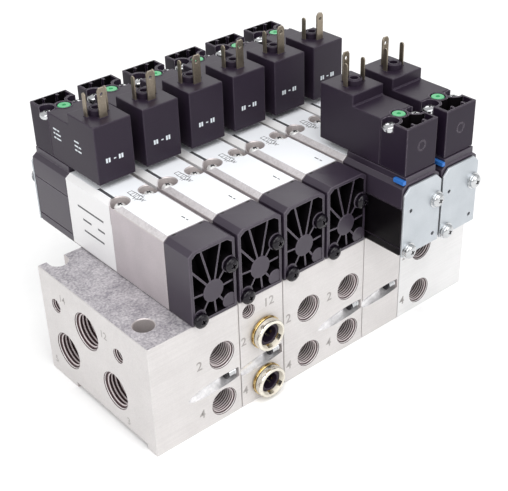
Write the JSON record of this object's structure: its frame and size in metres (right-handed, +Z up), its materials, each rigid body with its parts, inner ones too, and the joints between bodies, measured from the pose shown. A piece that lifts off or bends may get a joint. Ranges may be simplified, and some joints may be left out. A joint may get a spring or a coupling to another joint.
{
  "type": "solenoid directional valve",
  "caption": "Bank of slim solenoid directional valves on a jointed aluminium manifold base, with threaded ports, push-in tube cartridges and pilot coils.",
  "frame": {"origin": "under the middle of the bank, at the height of the mounting feet", "axes": "+X along the manifold to the right, +Y from the outlet port face to the back, +Z up"},
  "size_m": [0.1474, 0.1126, 0.1034],
  "materials": {
    "cast_aluminium": "cast top, milled faces",
    "body_aluminium": "blasted",
    "ground_steel": "ground",
    "black_plastic": "moulded, fine grain",
    "coil_plastic": "moulded, fine grain",
    "green_plastic": "moulded",
    "zinc_plate": "bright zinc plate",
    "nickel_plate": "nickel plate",
    "collet_plastic": "moulded",
    "white_label": "printed film",
    "dark_print": "ink",
    "light_print": "ink",
    "blade_brass": "tinned, dull",
    "bright_screw": "bright zinc plate",
    "black_screw": "black zinc",
    "blue_plastic": "moulded",
    "seal_rubber": "moulded",
    "engraving": "cut"
  },
  "bodies": {
    "manifold": {"base_left_end": "cast_aluminium", "base_station_2": "cast_aluminium", "base_stations_3_4": "cast_aluminium", "base_station_5": "cast_aluminium", "base_right_end": "cast_aluminium", "valve_body_1": "body_aluminium", "valve_body_2": "body_aluminium", "valve_body_3": "body_aluminium", "valve_body_4": "body_aluminium", "valve_body_5": "body_aluminium", "valve_body_6": "body_aluminium", "end_cap_1": "black_plastic", "end_cap_2": "black_plastic", "end_cap_3": "black_plastic", "end_cap_4": "black_plastic", "pilot_body_rear_1": "black_plastic", "pilot_body_rear_2": "black_plastic", "pilot_body_rear_3": "black_plastic", "pilot_body_rear_4": "black_plastic", "pilot_body_rear_5": "black_plastic", "pilot_body_rear_6": "black_plastic", "pilot_body_front_5": "black_plastic", "pilot_body_front_6": "black_plastic", "solenoid_rear_1": "coil_plastic", "solenoid_rear_2": "coil_plastic", "solenoid_rear_3": "coil_plastic", "solenoid_rear_4": "coil_plastic", "solenoid_rear_5": "coil_plastic", "solenoid_rear_6": "coil_plastic", "solenoid_front_5": "coil_plastic", "solenoid_front_6": "coil_plastic", "cover_plate_front_5": "zinc_plate", "cover_plate_front_6": "zinc_plate", "cartridge_2": "nickel_plate", "cartridge_4": "nickel_plate"},
    "spool_1": {"spool_1": "ground_steel"},
    "spool_2": {"spool_2": "ground_steel"},
    "spool_3": {"spool_3": "ground_steel"},
    "spool_4": {"spool_4": "ground_steel"},
    "spool_5": {"spool_5": "ground_steel"},
    "spool_6": {"spool_6": "ground_steel"},
    "armature_rear_1": {"armature_rear_1": "ground_steel"},
    "armature_rear_2": {"armature_rear_2": "ground_steel"},
    "armature_rear_3": {"armature_rear_3": "ground_steel"},
    "armature_rear_4": {"armature_rear_4": "ground_steel"},
    "armature_rear_5": {"armature_rear_5": "ground_steel"},
    "armature_rear_6": {"armature_rear_6": "ground_steel"},
    "armature_front_5": {"armature_front_5": "ground_steel"},
    "armature_front_6": {"armature_front_6": "ground_steel"},
    "override_button_rear_1": {"override_button_rear_1": "green_plastic"},
    "override_button_rear_2": {"override_button_rear_2": "green_plastic"},
    "override_button_rear_3": {"override_button_rear_3": "green_plastic"},
    "override_button_rear_4": {"override_button_rear_4": "green_plastic"},
    "override_button_rear_5": {"override_button_rear_5": "green_plastic"},
    "override_button_rear_6": {"override_button_rear_6": "green_plastic"},
    "override_button_front_5": {"override_button_front_5": "green_plastic"},
    "override_button_front_6": {"override_button_front_6": "green_plastic"},
    "collet_2": {"collet_2": "collet_plastic"},
    "collet_4": {"collet_4": "collet_plastic"}
  },
  "joints": [
    {"name": "spool_shift_1", "type": "slide", "parent": "manifold", "child": "spool_1", "axis": [0, -1, 0], "range_m": [0, 0.0035], "stiffness_N_per_m": 1200, "springref_m": -0.003},
    {"name": "spool_shift_2", "type": "slide", "parent": "manifold", "child": "spool_2", "axis": [0, -1, 0], "range_m": [0, 0.0035], "stiffness_N_per_m": 1200, "springref_m": -0.003},
    {"name": "spool_shift_3", "type": "slide", "parent": "manifold", "child": "spool_3", "axis": [0, -1, 0], "range_m": [0, 0.0035], "stiffness_N_per_m": 1200, "springref_m": -0.003},
    {"name": "spool_shift_4", "type": "slide", "parent": "manifold", "child": "spool_4", "axis": [0, -1, 0], "range_m": [0, 0.0035], "stiffness_N_per_m": 1200, "springref_m": -0.003},
    {"name": "spool_shift_5", "type": "slide", "parent": "manifold", "child": "spool_5", "axis": [0, -1, 0], "range_m": [0, 0.0035]},
    {"name": "spool_shift_6", "type": "slide", "parent": "manifold", "child": "spool_6", "axis": [0, -1, 0], "range_m": [0, 0.0035]},
    {"name": "armature_pull_rear_1", "type": "slide", "parent": "manifold", "child": "armature_rear_1", "axis": [0, -1, 0], "range_m": [0, 0.0008], "stiffness_N_per_m": 400, "springref_m": -0.001},
    {"name": "armature_pull_rear_2", "type": "slide", "parent": "manifold", "child": "armature_rear_2", "axis": [0, -1, 0], "range_m": [0, 0.0008], "stiffness_N_per_m": 400, "springref_m": -0.001},
    {"name": "armature_pull_rear_3", "type": "slide", "parent": "manifold", "child": "armature_rear_3", "axis": [0, -1, 0], "range_m": [0, 0.0008], "stiffness_N_per_m": 400, "springref_m": -0.001},
    {"name": "armature_pull_rear_4", "type": "slide", "parent": "manifold", "child": "armature_rear_4", "axis": [0, -1, 0], "range_m": [0, 0.0008], "stiffness_N_per_m": 400, "springref_m": -0.001},
    {"name": "armature_pull_rear_5", "type": "slide", "parent": "manifold", "child": "armature_rear_5", "axis": [0, -1, 0], "range_m": [0, 0.0008], "stiffness_N_per_m": 400, "springref_m": -0.001},
    {"name": "armature_pull_rear_6", "type": "slide", "parent": "manifold", "child": "armature_rear_6", "axis": [0, -1, 0], "range_m": [0, 0.0008], "stiffness_N_per_m": 400, "springref_m": -0.001},
    {"name": "armature_pull_front_5", "type": "slide", "parent": "manifold", "child": "armature_front_5", "axis": [0, 1, 0], "range_m": [0, 0.0008], "stiffness_N_per_m": 400, "springref_m": -0.001},
    {"name": "armature_pull_front_6", "type": "slide", "parent": "manifold", "child": "armature_front_6", "axis": [0, 1, 0], "range_m": [0, 0.0008], "stiffness_N_per_m": 400, "springref_m": -0.001},
    {"name": "override_press_rear_1", "type": "slide", "parent": "manifold", "child": "override_button_rear_1", "axis": [0, 0, -1], "range_m": [0, 0.001], "stiffness_N_per_m": 400, "springref_m": -0.0005},
    {"name": "override_press_rear_2", "type": "slide", "parent": "manifold", "child": "override_button_rear_2", "axis": [0, 0, -1], "range_m": [0, 0.001], "stiffness_N_per_m": 400, "springref_m": -0.0005},
    {"name": "override_press_rear_3", "type": "slide", "parent": "manifold", "child": "override_button_rear_3", "axis": [0, 0, -1], "range_m": [0, 0.001], "stiffness_N_per_m": 400, "springref_m": -0.0005},
    {"name": "override_press_rear_4", "type": "slide", "parent": "manifold", "child": "override_button_rear_4", "axis": [0, 0, -1], "range_m": [0, 0.001], "stiffness_N_per_m": 400, "springref_m": -0.0005},
    {"name": "override_press_rear_5", "type": "slide", "parent": "manifold", "child": "override_button_rear_5", "axis": [0, 0, -1], "range_m": [0, 0.001], "stiffness_N_per_m": 400, "springref_m": -0.0005},
    {"name": "override_press_rear_6", "type": "slide", "parent": "manifold", "child": "override_button_rear_6", "axis": [0, 0, -1], "range_m": [0, 0.001], "stiffness_N_per_m": 400, "springref_m": -0.0005},
    {"name": "override_press_front_5", "type": "slide", "parent": "manifold", "child": "override_button_front_5", "axis": [0, 0, -1], "range_m": [0, 0.001], "stiffness_N_per_m": 400, "springref_m": -0.0005},
    {"name": "override_press_front_6", "type": "slide", "parent": "manifold", "child": "override_button_front_6", "axis": [0, 0, -1], "range_m": [0, 0.001], "stiffness_N_per_m": 400, "springref_m": -0.0005},
    {"name": "collet_release_2", "type": "slide", "parent": "manifold", "child": "collet_2", "axis": [0, 1, 0], "range_m": [0, 0.0009], "stiffness_N_per_m": 400, "springref_m": -0.0005},
    {"name": "collet_release_4", "type": "slide", "parent": "manifold", "child": "collet_4", "axis": [0, 1, 0], "range_m": [0, 0.0009], "stiffness_N_per_m": 400, "springref_m": -0.0005}
  ]
}
